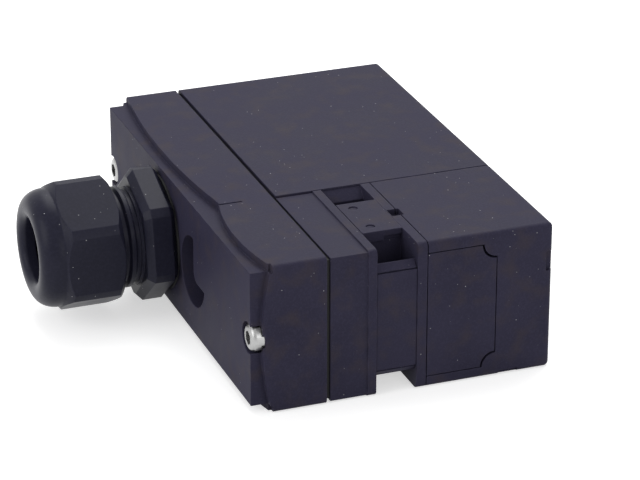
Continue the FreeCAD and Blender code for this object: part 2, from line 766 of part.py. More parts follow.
def involute_gear(axis_y, phase):
    """Spur gear about X with involute flanks, thinned by half the backlash."""
    teeth = int(S.gear_teeth.number)
    pitch_r = S.rotor_pitch.number / 2
    module = 2 * pitch_r / teeth
    base_r = pitch_r * math.cos(GEAR_PRESSURE)
    tip_r = pitch_r + 0.85 * module
    root_r = pitch_r - 1.15 * module
    thickness = math.pi / (2 * teeth) - S.backlash.number / (4 * pitch_r)
    involute = math.tan(GEAR_PRESSURE) - GEAR_PRESSURE

    def half_angle(radius):
        if radius <= base_r:
            return thickness + involute
        angle = math.acos(base_r / radius)
        return thickness + involute - (math.tan(angle) - angle)

    radii = [root_r, base_r] + [base_r + (tip_r - base_r) * n / 4 for n in range(1, 5)]
    points = []
    for tooth in range(teeth):
        centre = phase + 2 * math.pi * tooth / teeth
        flank = [(r, -half_angle(r)) for r in radii] + [(r, half_angle(r)) for r in reversed(radii)]
        points += [(r * math.cos(centre + a), r * math.sin(centre + a)) for r, a in flank]
    x = gear_start.number
    corners = [FreeCAD.Vector(x, axis_y + y, mid_z.number + z) for y, z in points]
    face = Part.Face(Part.makePolygon(corners + corners[:1]))
    gear = face.extrude(FreeCAD.Vector(S.gear_x.number, 0, 0))
    hole = Part.makeCylinder(S.spindle_r.number, S.gear_x.number + 2,
                             FreeCAD.Vector(x - 1, axis_y, mid_z.number), FreeCAD.Vector(1, 0, 0))
    return gear.cut(hole)


def cam_disc(name, axis_y, side):
    """Disc whose nose reaches into its slot with a throat for the tongue (side -1 or +1)."""
    span = (S.slot_x + S.cam_play, slot_end - S.cam_play)
    long_span = (S.slot_x, slot_end)
    disc = rod(name + "_disc", "X", (axis_y, mid_z), span, S.cam_r)
    throat = rod(name + "_throat", "X", (axis_y + side * (S.cam_r - 0.1), mid_z), long_span,
                 S.cam_throat)
    hole = rod(name + "_hole", "X", (axis_y, mid_z), long_span, S.spindle_r)
    return cut(name, disc, throat, hole)


def spindle(axis_y):
    return rod("spindle", "X", (axis_y, mid_z),
               (S.slot_x - S.bearing_deep + 0.2, block_start + S.bearing_deep - 0.2), S.spindle_r)


node("cam_disc_near", cam_disc("cam_disc_near", near_axis, -1))
node("cam_disc_far", cam_disc("cam_disc_far", far_axis, 1))
node("spindle_near", spindle(near_axis))
node("spindle_far", spindle(far_axis))
half_tooth = math.pi / S.gear_teeth.number
node("timing_gear_near", free_form("gear", involute_gear(near_axis.number, 0.0)))
node("timing_gear_far", free_form("gear", involute_gear(far_axis.number, math.pi + half_tooth)))


def lock_wheel():
    """Hub with two teeth; the locking bolt drops between them."""
    span = (lock_start, lock_start + S.lock_x)
    hub = rod("lock_hub", "X", (far_axis, mid_z), span, S.lock_hub)
    teeth = []
    for side in (-1, 1):
        tooth = doc.addObject("Part::Box", unique("lock_tooth"))
        bind(tooth, "Length", S.lock_x)
        bind(tooth, "Width", S.lock_r - S.spindle_r)
        bind(tooth, "Height", S.lock_tooth)
        angle = math.radians(side * S.lock_angle.number)
        tooth.Placement.Rotation = FreeCAD.Rotation(FreeCAD.Vector(1, 0, 0), math.degrees(angle))
        half = S.lock_tooth / 2
        reach = S.spindle_r
        place(tooth, lock_start,
              far_axis + reach * math.cos(angle) + half * math.sin(angle),
              mid_z + reach * math.sin(angle) - half * math.cos(angle))
        teeth.append(tooth)
    hole = rod("lock_hole", "X", (far_axis, mid_z), (span[0] - EPS, span[1] + EPS), S.spindle_r)
    return cut("lock_wheel", fuse("lock_blank", hub, *teeth), hole)


node("lock_wheel", lock_wheel())

# ---------------------------------------------------------------- contact slider and contacts


def contact_slider():
    """Rack that the near timing gear drives up and down."""
    teeth = int(S.gear_teeth.number)
    pitch_r = S.rotor_pitch.number / 2
    module = 2 * pitch_r / teeth
    pitch = math.pi * module
    line_y = near_axis.number - pitch_r
    tip_y = line_y + 0.85 * module
    root_y = line_y - 1.15 * module
    half = pitch / 4 - S.backlash.number / 4
    slope = math.tan(GEAR_PRESSURE)
    count = int(S.rack_teeth.number)
    first = mid_z.number - pitch * count / 2
    profile = []
    for tooth in range(count + 1):
        centre = first + pitch * tooth
        for y, reach in ((root_y, half + (line_y - root_y) * slope),
                         (tip_y, half - (tip_y - line_y) * slope)):
            profile.append((y, centre - reach))
        for y, reach in ((tip_y, half - (tip_y - line_y) * slope),
                         (root_y, half + (line_y - root_y) * slope)):
            profile.append((y, centre + reach))
    back_y = root_y - S.rack_back.number
    profile += [(back_y, profile[-1][1]), (back_y, profile[0][1])]
    x = gear_start.number
    corners = [FreeCAD.Vector(x, y, z) for y, z in profile]
    face = Part.Face(Part.makePolygon(corners + corners[:1]))
    return face.extrude(FreeCAD.Vector(S.gear_x.number, 0, 0))


node("contact_slider", free_form("rack", contact_slider()))

module = S.rotor_pitch / S.gear_teeth
rack_root = near_axis - S.rotor_pitch / 2 - module * 1.15
bridge_x = (gear_start + S.gear_x, block_start - S.contact_pad - 0.15)
contact_room = (rack_root - S.rack_back, rack_root)
# The rotors' full turn moves the slider from between two contacts on to both of them.
slider_travel = S.rotor_pitch / 2 * S.rotor_turn * (math.pi / 180)


def contact_bridge():
    """Brass bar carried by the slider, with a raised pad at each end."""
    button_r = S.rack_back * 0.4
    bar = block("contact_bar", (bridge_x[0], bridge_x[1] - 0.5), contact_room,
                (mid_z - slider_travel - button_r, mid_z + slider_travel + button_r))
    pads = [rod("contact_button", "X", (rack_root - S.rack_back / 2, z),
                (bridge_x[0], bridge_x[1]), button_r)
            for z in (mid_z - slider_travel, mid_z + slider_travel)]
    return fuse("contact_bridge", bar, *pads)


node("contact_bridge", contact_bridge())

contact_rows = [mid_z - slider_travel * 2, mid_z, mid_z + slider_travel * 2]
node("fixed_contacts", group("fixed_contacts", *[
    block("fixed_contact", (block_start - S.contact_pad, block_start),
          (contact_room[0] - 0.2, contact_room[0] - 0.2 + S.contact_y),
          (row - S.contact_z / 2, row + S.contact_z / 2))
    for row in contact_rows]))


def contact_block():
    """Case that carries the fixed contacts and the rotors' inner bearings."""
    x_end = block_start + S.block_x
    y = (S.wall + S.seat_play + 1.1, head_end - S.wall - S.seat_play)
    z = (S.wall + S.seat_play, top - S.wall - S.seat_play)
    wall = S.block_wall
    rooms = [block("block_room", (block_start + S.bearing_deep + wall, x_end + EPS), room_y,
                   (z[0] + wall, z[1] - wall))
             for room_y in ((y[0] + wall, head_mid - wall / 2), (head_mid + wall / 2, y[1] - wall))]
    stock = cut("block_stock", block("block_blank", (block_start, x_end), y, z), *rooms)
    bearings = [rod("block_bearing", "X", (axis_y, mid_z),
                    (block_start - EPS, block_start + S.bearing_deep),
                    S.spindle_r + S.bearing_play) for axis_y in (near_axis, far_axis)]
    return cut("contact_block", stock, *bearings)


node("contact_block", contact_block())

# ---------------------------------------------------------------- solenoid

coil_end = S.coil_start + S.coil_length
bore_r = S.armature_r + S.armature_play


def coil_rod(name, span, radius):
    """A cylinder on the solenoid's axis."""
    return rod(name, "Y", (lock_mid, mid_z), span, radius)


def coil_bobbin():
    tube = coil_rod("tube", (S.coil_start, coil_end), bore_r + S.spool_wall)
    flanges = [coil_rod("flange", span, S.flange_r)
               for span in ((S.coil_start, S.coil_start + S.flange_y),
                            (coil_end - S.flange_y, coil_end))]
    return cut("coil_bobbin", fuse("spool", tube, *flanges),
               coil_rod("bore", (S.coil_start - EPS, coil_end + EPS), bore_r))


def coil_winding():
    span = (S.coil_start + S.flange_y, coil_end - S.flange_y)
    return cut("coil_winding", coil_rod("winding", span, S.coil_r),
               coil_rod("winding_core", (span[0] - EPS, span[1] + EPS), bore_r + S.spool_wall))


def magnet_yoke():
    """Bent steel frame: two plates joined by a foot on the housing's floor."""
    x = (lock_mid - S.yoke_x / 2, lock_mid + S.yoke_x / 2)
    floor = S.wall + S.seat_play
    z = (floor, floor + S.yoke_z)
    plates = [block("yoke_plate", x, y, z)
              for y in ((S.coil_start - S.yoke, S.coil_start), (coil_end, coil_end + S.yoke))]
    foot = block("yoke_foot", x, (S.coil_start - S.yoke, coil_end + S.yoke),
                 (floor, floor + S.yoke * 0.8))
    frame = fuse("yoke_frame", foot, *plates)
    front = coil_rod("front_hole", (S.coil_start - S.yoke - EPS, S.coil_start + EPS / 2),
                     S.bolt_r + S.bolt_play)
    return cut("magnet_yoke", frame, front)


def wire_rings(length, coil_radius):
    """Hexagonal sections of the spring's wire, one after the other along its helix."""
    wire, turns = S.spring_wire.number, int(S.spring_turns.number)
    sides, steps = 6, 16
    # The hexagon has the area of the round wire that it stands for.
    reach = wire / 2 * math.sqrt(math.pi / (sides / 2 * math.sin(2 * math.pi / sides)))
    slope = math.atan2(length / turns, 2 * math.pi * coil_radius)
    for step in range(turns * steps + 1):
        turn = 2 * math.pi * step / steps
        rise = length * step / (turns * steps)
        ring = []
        for side in range(sides):
            angle = 2 * math.pi * side / sides
            out, up = coil_radius + reach * math.cos(angle), reach * math.sin(angle)
            ring.append(FreeCAD.Vector(
                out * math.cos(turn) + up * math.sin(slope) * math.sin(turn),
                out * math.sin(turn) - up * math.sin(slope) * math.cos(turn),
                rise + up * math.cos(slope)))
        yield ring


def armature_spring():
    """Helical spring between the yoke's front plate and the armature."""
    wire = S.spring_wire.number
    end_play = wire / 2 + 0.12
    length = (S.armature_start - S.coil_start).number - end_play * 2
    rings = list(wire_rings(length, S.armature_r.number - wire / 2 - 0.4))

    def facet(*corners):
        return Part.Face(Part.makePolygon(list(corners) + [corners[0]]))

    facets = [facet(*rings[0]), facet(*rings[-1])]
    for low, high in zip(rings, rings[1:]):
        for side in range(len(low)):
            other = (side + 1) % len(low)
            facets.append(facet(low[side], low[other], high[other]))
            facets.append(facet(low[side], high[other], high[side]))
    spring = Part.Solid(Part.makeShell(facets))
    spring.Placement = FreeCAD.Placement(
        FreeCAD.Vector(lock_mid.number, S.coil_start.number + end_play, mid_z.number),
        TURN_TO["Y"])
    return spring


node("coil_bobbin", coil_bobbin())
node("coil_winding", coil_winding())
node("magnet_yoke", magnet_yoke())
armature_end = S.armature_start + S.armature_length
node("armature", coil_rod("armature", (S.armature_start, armature_end), S.armature_r))
node("locking_bolt", coil_rod("locking_bolt", (S.bolt_tip, S.armature_start), S.bolt_r))
node("armature_spring", free_form("spring", armature_spring()))

# ---------------------------------------------------------------- terminals

terminal_start = house_x + S.terminal_set
terminal_end = terminal_start + S.terminal_x
terminal_mid = (side_start + S.body_y) / 2
first_terminal = terminal_mid - S.terminal_pitch * (S.terminal_count - 1) / 2
terminal_rows = [first_terminal + S.terminal_pitch * n
                 for n in range(int(S.terminal_count.number))]
half_row = S.terminal_pitch * S.terminal_count / 2


def terminal_block():
    """Block with one open chamber for each clamp."""
    stock = block("terminal_stock", (terminal_start, terminal_end),
                  (terminal_mid - half_row - 0.8, terminal_mid + half_row + 0.8),
                  (mid_z - S.terminal_z / 2, mid_z + S.terminal_z / 2))
    half_y, half_z = S.clamp_y / 2 + 0.1, S.clamp_z / 2 + 0.1
    chambers = [block("chamber", (terminal_start - EPS, terminal_start + S.clamp_x + 0.2),
                      (row - half_y, row + half_y), (mid_z - half_z, mid_z + half_z))
                for row in terminal_rows]
    return cut("terminal_block", stock, *chambers)


def clamp(row):
    """Square cage that the screw pulls up against the wire."""
    x = (terminal_start + 0.1, terminal_start + 0.1 + S.clamp_x)
    half_y, half_z, wall = S.clamp_y / 2, S.clamp_z / 2, S.clamp_wall
    cage = block("cage", x, (row - half_y, row + half_y), (mid_z - half_z, mid_z + half_z))
    room = block("cage_room", (x[0] + wall, x[1] - wall), (row - half_y + wall, row + half_y - wall),
                 (mid_z - half_z - EPS, mid_z + half_z + EPS))
    hole = rod("cage_thread", "X", (row, mid_z), (x[0] - EPS, x[0] + wall + EPS), 1.2)
    return cut("clamp", cage, room, hole)


node("terminal_block", terminal_block())
node("terminal_clamps", group("terminal_clamps", *[clamp(row) for row in terminal_rows]))
node("terminal_screws", group("terminal_screws", *[
    pan_screw("terminal_screw", (row, mid_z), terminal_start, S.terminal_screw_r, as_length(1.0),
              as_length(1.2), terminal_start + S.clamp_x * 0.6, 1.4)
    for row in terminal_rows]))
node("circuit_board", block("circuit_board", (terminal_end, terminal_end + S.board_x),
                            (side_start + S.wall + 0.3, S.body_y - S.wall - S.screw_edge * 2),
                            (S.wall + S.seat_play, top - S.wall - S.seat_play)))

# ---------------------------------------------------------------- cable gland
# The gland's own frame has X pointing out of the housing from the inner end of the stub.


def gland_place(obj):
    """Turns a gland piece outwards and sets it on the gland's axis."""
    obj.Placement.Rotation = FreeCAD.Rotation(FreeCAD.Vector(0, 0, 1), 180)
    place(obj, S.stub, S.gland_y, mid_z)
    return obj


def trimmed_hexagon(name, span, turn, shape):
    """A turned shape with six flats along a part of its length."""
    flats = hexagon(name + "_flats", (0, 0), span, S.gland_flats, turn)
    return common(name, shape, flats)


def gland_body():
    """Threaded stub, hexagon flange, grooved neck and clamping fingers."""
    stub, face = S.stub, S.stub + S.washer
    front = S.stub + S.flange
    neck_end = S.stub + S.neck
    bore, neck_r, groove = S.cable_r, S.neck_r, S.neck_groove
    limit = S.gland_limit
    blank = turned("flange", [
        (face, bore), (face, limit - 1.6), (face + 1.0, limit), (front - 1.3, limit),
        (front, limit - 1.9), (front, bore)])
    flange = trimmed_hexagon("gland_flange", (0, S.stub * 4), 18, blank)
    thin = neck_r - groove
    tube = turned("neck", [
        (0, bore), (0, S.thread_r - 0.9), (0.8, S.thread_r - 0.05), (face + 0.5, S.thread_r - 0.05),
        (face + 0.5, neck_r - 1.5), (front, neck_r), (front + 0.5, neck_r - 0.2),
        (front + 0.5, thin), (front + 1.3, thin), (front + 1.7, neck_r), (front + 2.5, neck_r),
        (front + 2.9, thin), (front + 3.9, thin), (front + 4.3, neck_r), (neck_end, neck_r),
        (neck_end, S.cable_r + S.claw_wall + 0.4), (neck_end, bore)])
    fingers = turned("fingers", [
        (neck_end - 1.0, bore), (neck_end - 1.0, bore + S.claw_wall + 0.4),
        (neck_end + S.claw * 0.4, bore + S.claw_wall + 0.4), (neck_end + S.claw, bore + S.claw_wall * 0.6),
        (neck_end + S.claw, bore)])
    slots = []
    count = int(S.claw_count.number)
    for finger in range(count):
        slot = doc.addObject("Part::Box", unique("finger_slot"))
        bind(slot, "Length", S.claw + 1)
        slot.Width = 0.9
        bind(slot, "Height", S.neck_r)
        angle = 360.0 * finger / count
        slot.Placement.Rotation = FreeCAD.Rotation(FreeCAD.Vector(1, 0, 0), angle)
        reach = 0.45
        place(slot, neck_end + 0.2, -reach * math.cos(math.radians(angle)),
              -reach * math.sin(math.radians(angle)))
        slots.append(slot)
    claws = cut("gland_claws", fingers, *slots)
    return fuse("gland_body", flange, tube, claws)


def gland_nut():
    """Hexagon nut with a domed front; it squeezes the fingers on to the seal."""
    start = S.stub + S.nut_start
    hex_end = S.stub + S.nut_hex_end
    tip = S.stub + S.nut_tip
    mouth = S.nut_mouth_r
    limit = S.gland_limit + 0.1
    inside = S.neck_r + S.nut_play
    claw_end = S.stub + S.neck + S.claw
    claw_r = S.cable_r + S.claw_wall + 0.4 + S.nut_play
    outside = turned("nut_outside", [
        (start, mouth), (start, limit - 2.4), (start + 1.5, limit), (hex_end, limit),
        (hex_end + 0.5, limit - 1.2), (tip, mouth + 2.6), (tip, mouth)])
    outside = rounded("nut_dome", outside, S.seal_wall * 1.9,
                      lambda edge: lies_at(edge, "X", tip.number)
                      and spans(edge, "Y") > mouth.number * 2 + 1)
    flats = hexagon("nut_flats", (0, 0), (start - EPS, tip + EPS), S.gland_flats, 26)
    inner = turned("nut_inside", [
        (start - EPS, 0), (start - EPS, inside), (S.stub + S.neck + 0.4, inside),
        (S.stub + S.neck + 0.4 + (inside - claw_r), claw_r), (claw_end - 0.6, claw_r),
        (claw_end + 0.5, mouth + 0.8), (claw_end + 0.5, mouth), (tip + EPS, mouth),
        (tip + EPS, 0)])
    return cut("gland_nut", common("nut_hexagon", outside, flats), inner)


def gland_seal():
    """Rubber sleeve inside the fingers, round the cable's path."""
    start = S.stub + S.neck - 6
    end = S.stub + S.neck + S.claw
    outer = S.cable_r - 0.05
    inner = outer - S.seal_wall
    return turned("gland_seal", [
        (start, inner + 0.5), (start, outer), (end, outer), (end, inner + 0.3), (end - 0.6, inner),
        (start + 0.8, inner)])


for label, maker in (("gland_body", gland_body), ("gland_nut", gland_nut),
                     ("gland_seal", gland_seal)):
    node(label, gland_place(group(label + "_turned", maker())))

node("gland_gasket", cut(
    "gland_gasket",
    rod("washer", "X", (S.gland_y, mid_z), (-S.washer, 0), S.thread_r + 1.7),
    rod("washer_hole", "X", (S.gland_y, mid_z), (-S.washer - EPS, EPS), S.thread_r)))

# ---------------------------------------------------------------- check and write

doc.recompute()
for obj in doc.Objects:
    if "Invalid" in obj.State or "Error" in obj.State:
        raise RuntimeError(f"{obj.Label} failed: {obj.State}")
os.makedirs("parts", exist_ok=True)
for obj in NODES:
    if obj.Shape.isNull() or not obj.Shape.isValid() or not obj.Shape.Solids:
        raise RuntimeError(f"{obj.Label} has no valid shape")
    obj.Shape.exportStep(f"parts/{obj.Label}.step")
    print(f"{obj.Label}: {len(obj.Shape.Solids)} solid(s), {obj.Shape.Volume:.1f} mm3")
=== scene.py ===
# %% [markdown]
# # A tongue interlock switch, dressed and lit
#
# The switch is a flat black plastic housing with a cable gland, a head with two slots for the
# door's tongue, and a solenoid unit beside the head. Its shape comes from CAD and arrives here
# as a fixed frame. This lesson adds what CAD leaves out: the grain of the mouldings, soft
# corners that catch the light, a domed nut, wire on the coil, a smooth spring, parts on the
# board, the camera and the light. One function call at the start loads the frame.

# %% Load the frame and keep its size
import math

import bmesh
import bpy
import numpy as np
from mathutils import Matrix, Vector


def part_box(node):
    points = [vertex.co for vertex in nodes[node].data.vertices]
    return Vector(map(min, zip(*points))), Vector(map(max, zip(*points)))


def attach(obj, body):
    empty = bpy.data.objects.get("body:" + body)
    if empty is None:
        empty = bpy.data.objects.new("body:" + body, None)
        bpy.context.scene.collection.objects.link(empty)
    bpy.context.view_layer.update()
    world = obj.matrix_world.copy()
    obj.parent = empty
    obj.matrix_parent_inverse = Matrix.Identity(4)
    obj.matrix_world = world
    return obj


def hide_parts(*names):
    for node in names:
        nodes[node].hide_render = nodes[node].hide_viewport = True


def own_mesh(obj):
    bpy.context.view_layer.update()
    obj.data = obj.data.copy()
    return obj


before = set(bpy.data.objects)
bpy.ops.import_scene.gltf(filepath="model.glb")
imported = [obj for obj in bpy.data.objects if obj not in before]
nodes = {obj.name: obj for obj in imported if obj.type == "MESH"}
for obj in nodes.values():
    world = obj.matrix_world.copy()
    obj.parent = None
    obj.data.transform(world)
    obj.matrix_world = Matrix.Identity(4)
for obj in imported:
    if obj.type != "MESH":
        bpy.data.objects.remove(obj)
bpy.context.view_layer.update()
MM = 0.001
print("sub-parts from CAD:", len(nodes))

# %% [markdown]
# ## Camera
#
# The view is a long-lens product shot from the side of the slots, a little above the housing.
# A camera is placed by four vectors: where it stands, and its own right, up and back directions.
# Writing them as a matrix says the view exactly, where an aim-at constraint would leave the
# roll open. The lens follows from how fast the edges run together: 172 mm on a 36 mm sensor.

# %% Camera
camera_data = bpy.data.cameras.new("product_camera")
camera_data.sensor_width = 36.0
camera_data.lens = 172.07
camera_data.clip_start = 0.05
camera = bpy.data.objects.new("product_camera", camera_data)
bpy.context.scene.collection.objects.link(camera)
view_axes = np.array([[0.936383, -0.350981, 0.000467],
                      [0.143958, 0.385279, 0.911502],
                      [-0.320100, -0.853447, 0.411295]])
stands_at = (-0.195185, -0.520327, 0.262950)
placing = Matrix.Identity(4)
for column in range(3):
    for line in range(3):
        placing[line][column] = view_axes[column][line]
    placing[column][3] = stands_at[column]
camera.matrix_world = placing
bpy.context.scene.camera = camera
print("camera stands", round(math.dist(stands_at, (0, 0, 0)), 3), "m away")

# %% [markdown]
# ## Floor, lamps and world
#
# Black plastic shows only what it reflects, so the lamps matter more than their strength. A wide
# soft lamp high behind the object lights the top, a weaker one at the left opens the gland's
# side, and the world fills the rest. The floor is white to the camera by a small glow that only
# camera and mirror rays see, so it brightens the background and leaves the object's light alone.


# %% Floor, lamps and world
def shader_tree(material):
    """Empties a material's node tree and returns it with its output node."""
    material.use_nodes = True
    tree = material.node_tree
    tree.nodes.clear()
    return tree, tree.nodes.new("ShaderNodeOutputMaterial")


def seen_directly(tree):
    """1 for a camera, mirror or see-through ray, and 0 for a ray that carries light."""
    path = tree.nodes.new("ShaderNodeLightPath")
    either = tree.nodes.new("ShaderNodeMath")
    either.operation = "MAXIMUM"
    either_glass = tree.nodes.new("ShaderNodeMath")
    either_glass.operation = "MAXIMUM"
    tree.links.new(path.outputs["Is Camera Ray"], either.inputs[0])
    tree.links.new(path.outputs["Is Glossy Ray"], either.inputs[1])
    tree.links.new(either.outputs[0], either_glass.inputs[0])
    tree.links.new(path.outputs["Is Transmission Ray"], either_glass.inputs[1])
    return either_glass.outputs[0]


def floor_material():
    """White paper: plain diffuse, with a glow for the rays that look straight at it."""
    material = bpy.data.materials.new("white_floor")
    tree, out = shader_tree(material)
    paper = tree.nodes.new("ShaderNodeBsdfDiffuse")
    paper.inputs["Color"].default_value = (0.8, 0.8, 0.8, 1)
    glow = tree.nodes.new("ShaderNodeEmission")
    strength = tree.nodes.new("ShaderNodeMath")
    strength.operation = "MULTIPLY"
    strength.inputs[1].default_value = 0.55
    tree.links.new(seen_directly(tree), strength.inputs[0])
    tree.links.new(strength.outputs[0], glow.inputs["Strength"])
    both = tree.nodes.new("ShaderNodeAddShader")
    tree.links.new(paper.outputs[0], both.inputs[0])
    tree.links.new(glow.outputs[0], both.inputs[1])
    tree.links.new(both.outputs[0], out.inputs["Surface"])
    return material


floor_mesh = bpy.data.meshes.new("floor")
floor_mesh.from_pydata([(-4, -4, 0), (4, -4, 0), (4, 4, 0), (-4, 4, 0)], [], [(0, 1, 2, 3)])
floor = bpy.data.objects.new("floor", floor_mesh)
floor.data.materials.append(floor_material())
bpy.context.scene.collection.objects.link(floor)


def soft_lamp(name, size, power, stands, aims):
    """A square area lamp that stands at one point and shines at another."""
    data = bpy.data.lights.new(name, "AREA")
    data.size = size
    data.energy = power
    lamp = bpy.data.objects.new(name, data)
    away = np.array(stands, float) - np.array(aims, float)
    away /= np.linalg.norm(away)
    right = np.cross((0, 0, 1), away)
    right /= np.linalg.norm(right)
    up = np.cross(away, right)
    turn = Matrix([list(row) for row in np.array([right, up, away]).T]).to_4x4()
    turn.translation = stands
    lamp.matrix_world = turn
    bpy.context.scene.collection.objects.link(lamp)
    return lamp


soft_lamp("top_lamp", 0.9, 9.0, (0.25, 0.55, 0.95), (0, 0, 0.02))
soft_lamp("left_lamp", 0.6, 3.0, (-0.9, -0.1, 0.45), (0, 0, 0.02))
soft_lamp("front_lamp", 0.6, 1.6, (0.2, -0.95, 0.35), (0, 0, 0.02))

world = bpy.data.worlds.new("studio")
bpy.context.scene.world = world
world.use_nodes = True
world_tree = world.node_tree
world_tree.nodes.clear()
world_out = world_tree.nodes.new("ShaderNodeOutputWorld")
sky = world_tree.nodes.new("ShaderNodeBackground")
sky.inputs["Color"].default_value = (1, 1, 1, 1)
world_strength = world_tree.nodes.new("ShaderNodeMapRange")
world_strength.inputs["To Min"].default_value = 0.55
world_strength.inputs["To Max"].default_value = 1.0
world_tree.links.new(seen_directly(world_tree), world_strength.inputs["Value"])
world_tree.links.new(world_strength.outputs[0], sky.inputs["Strength"])
world_tree.links.new(sky.outputs[0], world_out.inputs["Surface"])
bpy.context.scene.view_settings.view_transform = "Standard"

# %% [markdown]
# ## Moulded plastic
#
# The housings are glass-filled nylon from a spark-eroded mould. Close up, such a surface has
# tiny pits a few tenths of a millimetre across, and at arm's length it looks satin with slow
# cloudy changes in gloss. The material adds three layers of noise on Object coordinates, so
# the grain runs through every piece without a seam: fine pits for the bump, clouds for the
# roughness, and rare pale specks of dust. A Bevel node softens the light on sharp CAD edges,
# and where its normal leaves the true one there is an edge, so the same node also says where
# handling has rubbed the plastic a little lighter.


# %% Node helpers and the plastic
def put(tree, kind, **settings):
    """Adds a node and sets its properties and its inputs by name."""
    node = tree.nodes.new(kind)
    for key, value in settings.items():
        if hasattr(node, key):
            setattr(node, key, value)
        else:
            node.inputs[key.replace("_", " ")].default_value = value
    return node


def noise(tree, size, detail=2.0):
    """Noise whose grains are about size metres across, on Object coordinates."""
    place = tree.nodes.new("ShaderNodeTexCoord")
    grain = put(tree, "ShaderNodeTexNoise", Scale=1.0 / size, Detail=detail)
    tree.links.new(place.outputs["Object"], grain.inputs["Vector"])
    return grain.outputs["Fac"]


def spread(tree, source, low, high, start=0.3, end=0.7):
    """Maps the middle of a noise to the range from low to high."""
    reach = put(tree, "ShaderNodeMapRange")
    for name, value in (("From Min", start), ("From Max", end), ("To Min", low), ("To Max", high)):
        reach.inputs[name].default_value = value
    tree.links.new(source, reach.inputs["Value"])
    return reach.outputs[0]


def mixed(tree, factor, first, second):
    """One colour towards another by a factor; each is a colour or a socket."""
    blend = put(tree, "ShaderNodeMix", data_type="RGBA")
    colour_inputs = [s for s in blend.inputs if s.type == "RGBA"]
    tree.links.new(factor, blend.inputs["Factor"])
    for socket, value in zip(colour_inputs, (first, second)):
        if isinstance(value, tuple):
            socket.default_value = (*value, 1)
        else:
            tree.links.new(value, socket)
    return [s for s in blend.outputs if s.type == "RGBA"][0]


def product(tree, first, second):
    """One socket times another."""
    both = put(tree, "ShaderNodeMath", operation="MULTIPLY")
    tree.links.new(first, both.inputs[0])
    tree.links.new(second, both.inputs[1])
    return both.outputs[0]


def dust(tree, size, share):
    """Small round specks in patches: 1 at the middle of some Voronoi cells, 0 elsewhere."""
    place = tree.nodes.new("ShaderNodeTexCoord")
    cells = put(tree, "ShaderNodeTexVoronoi", Scale=1.0 / size)
    tree.links.new(place.outputs["Object"], cells.inputs["Vector"])
    specks = spread(tree, cells.outputs["Distance"], 1.0, 0.0, share * 0.6, share)
    return product(tree, specks, spread(tree, noise(tree, 0.009, 2.0), 0.0, 1.0, 0.42, 0.6))


def rubbed_edges(tree, soft_normal):
    """1 on an edge and 0 on a flat face: how far the softened normal leaves the true one."""
    true_normal = tree.nodes.new("ShaderNodeNewGeometry")
    likeness = put(tree, "ShaderNodeVectorMath", operation="DOT_PRODUCT")
    tree.links.new(soft_normal, likeness.inputs[0])
    tree.links.new(true_normal.outputs["Normal"], likeness.inputs[1])
    return spread(tree, likeness.outputs["Value"], 1.0, 0.0, 0.86, 0.995)


def plastic(name, colour, roughness, pit=0.00035, depth=0.25, specks=0.0, rounding=0.0003,
            shine=0.25, warm=None):
    """Moulded plastic: cloudy gloss, fine pits, soft rubbed edges and a little dust."""
    material = bpy.data.materials.new(name)
    tree, out = shader_tree(material)
    shader = put(tree, "ShaderNodeBsdfPrincipled")
    shader.inputs["Specular IOR Level"].default_value = shine
    tree.links.new(shader.outputs[0], out.inputs["Surface"])
    clouds = noise(tree, 0.012, 3.0)
    pits = noise(tree, pit, 2.0)
    lighter = tuple(min(1.0, c * 1.22 + 0.002) for c in colour)
    tone = mixed(tree, spread(tree, clouds, 0.0, 1.0), colour, lighter)
    tone = mixed(tree, spread(tree, pits, 0.0, 0.35, 0.45, 0.75), tone,
                 tuple(c * 1.7 + 0.004 for c in colour))
    if warm:
        blotches = noise(tree, 0.005, 5.0)
        tone = mixed(tree, spread(tree, blotches, 0.0, 0.55, 0.5, 0.72), tone, warm)
    soft = put(tree, "ShaderNodeBevel", samples=6, Radius=rounding)
    wear = product(tree, rubbed_edges(tree, soft.outputs[0]),
                   spread(tree, noise(tree, 0.003, 4.0), 0.0, 0.6, 0.35, 0.7))
    tone = mixed(tree, wear, tone, tuple(min(1.0, c * 2.6 + 0.012) for c in colour))
    if specks:
        tone = mixed(tree, dust(tree, 0.0017, specks), tone, (0.5, 0.5, 0.52))
    tree.links.new(tone, shader.inputs["Base Color"])
    tree.links.new(spread(tree, clouds, roughness - 0.05, roughness + 0.07),
                   shader.inputs["Roughness"])
    bump = put(tree, "ShaderNodeBump", Strength=depth, Distance=0.00006)
    tree.links.new(pits, bump.inputs["Height"])
    tree.links.new(soft.outputs[0], bump.inputs["Normal"])
    tree.links.new(bump.outputs[0], shader.inputs["Normal"])
    return material


housing_plastic = plastic("housing_plastic", (0.025, 0.023, 0.042), 0.52, specks=0.06,
                          shine=0.05, warm=(0.048, 0.038, 0.042))
gland_plastic = plastic("gland_plastic", (0.012, 0.012, 0.023), 0.34, pit=0.0006, depth=0.12,
                        specks=0.06, rounding=0.0003, shine=0.1)
inner_grey = plastic("inner_grey", (0.30, 0.31, 0.32), 0.5)
terminal_green = plastic("terminal_green", (0.05, 0.24, 0.08), 0.42)
print("plastics ready")

# %% [markdown]
# ## Rubber and metals
#
# Rubber is dull with a faint bloom. Zinc plating is bright with fine scratches left by turning,
# so its roughness is streaked along one direction by a stretched noise. Brass, hardened steel
# and the yoke's yellow passivation are the same idea in other colours: one function makes them.


# %% Rubber and metals
def rubber(name, colour):
    """Black rubber with a dull, slightly cloudy surface."""
    return plastic(name, colour, 0.72, pit=0.0002, depth=0.15, rounding=0.0002)


